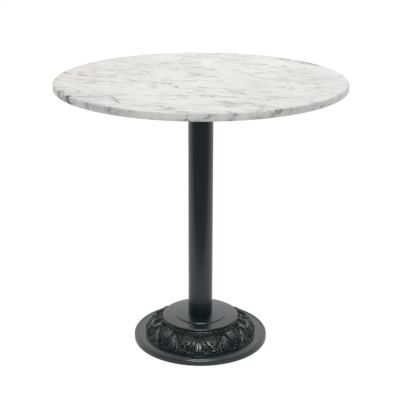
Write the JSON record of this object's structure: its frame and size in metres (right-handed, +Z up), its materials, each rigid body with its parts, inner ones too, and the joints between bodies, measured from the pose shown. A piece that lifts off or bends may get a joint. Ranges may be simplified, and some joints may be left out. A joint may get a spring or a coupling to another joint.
{
  "type": "bistro table",
  "caption": "Round marble bistro table on one steel column, with a domed cast iron base of scrolled acanthus leaves on levelling glides.",
  "frame": {"origin": "on the floor plane under the glides, at the middle of the column", "axes": "+Z up along the column's axis, -Y towards the viewer, +X to the viewer's right; two glides lie on the X axis and two on the Y axis"},
  "size_m": [0.762, 0.762, 0.737],
  "materials": {
    "marble": "polished",
    "enamelled_iron": "satin",
    "enamelled_tube": "satin",
    "spider_iron": "satin",
    "zinc_steel": "satin",
    "insert_brass": "satin",
    "glide_nylon": "matte"
  },
  "bodies": {
    "table": {"tabletop": "marble", "spider": "spider_iron", "column_tube": "enamelled_tube", "base_casting": "enamelled_iron", "tie_rod": "zinc_steel", "tie_rod_top_nut": "zinc_steel", "tie_rod_top_washer": "zinc_steel", "base_plate_washer": "zinc_steel", "base_spring_washer": "zinc_steel", "base_nut": "zinc_steel", "slab_insert_1": "insert_brass", "top_bolt_1": "zinc_steel", "top_bolt_washer_1": "zinc_steel", "slab_insert_2": "insert_brass", "top_bolt_2": "zinc_steel", "top_bolt_washer_2": "zinc_steel", "slab_insert_3": "insert_brass", "top_bolt_3": "zinc_steel", "top_bolt_washer_3": "zinc_steel", "slab_insert_4": "insert_brass", "top_bolt_4": "zinc_steel", "top_bolt_washer_4": "zinc_steel"},
    "pad_1": {"foot_1_pad": "glide_nylon"},
    "stud_1": {"foot_1_stud": "zinc_steel"},
    "pad_2": {"foot_2_pad": "glide_nylon"},
    "stud_2": {"foot_2_stud": "zinc_steel"},
    "pad_3": {"foot_3_pad": "glide_nylon"},
    "stud_3": {"foot_3_stud": "zinc_steel"},
    "pad_4": {"foot_4_pad": "glide_nylon"},
    "stud_4": {"foot_4_stud": "zinc_steel"}
  },
  "joints": [
    {"name": "foot_1_lift", "type": "slide", "parent": "table", "child": "pad_1", "axis": [0, 0, -1], "range_m": [0, 0.0101]},
    {"name": "foot_1_screw", "type": "hinge", "parent": "pad_1", "child": "stud_1", "pos_m": [0.1445, 0, 0.0063], "axis": [0, 0, -1], "range_deg": [0, 2880]},
    {"name": "foot_2_lift", "type": "slide", "parent": "table", "child": "pad_2", "axis": [0, 0, -1], "range_m": [0, 0.0101]},
    {"name": "foot_2_screw", "type": "hinge", "parent": "pad_2", "child": "stud_2", "pos_m": [0, 0.1445, 0.0063], "axis": [0, 0, -1], "range_deg": [0, 2880]},
    {"name": "foot_3_lift", "type": "slide", "parent": "table", "child": "pad_3", "axis": [0, 0, -1], "range_m": [0, 0.0101]},
    {"name": "foot_3_screw", "type": "hinge", "parent": "pad_3", "child": "stud_3", "pos_m": [-0.1445, 0, 0.0063], "axis": [0, 0, -1], "range_deg": [0, 2880]},
    {"name": "foot_4_lift", "type": "slide", "parent": "table", "child": "pad_4", "axis": [0, 0, -1], "range_m": [0, 0.0101]},
    {"name": "foot_4_screw", "type": "hinge", "parent": "pad_4", "child": "stud_4", "pos_m": [0, -0.1445, 0.0063], "axis": [0, 0, -1], "range_deg": [0, 2880]}
  ],
  "couplings": [
    {"joint": "foot_1_lift", "follows": "foot_1_screw", "m_per_rad": 0.00019894},
    {"joint": "foot_2_lift", "follows": "foot_2_screw", "m_per_rad": 0.00019894},
    {"joint": "foot_3_lift", "follows": "foot_3_screw", "m_per_rad": 0.00019894},
    {"joint": "foot_4_lift", "follows": "foot_4_screw", "m_per_rad": 0.00019894}
  ]
}
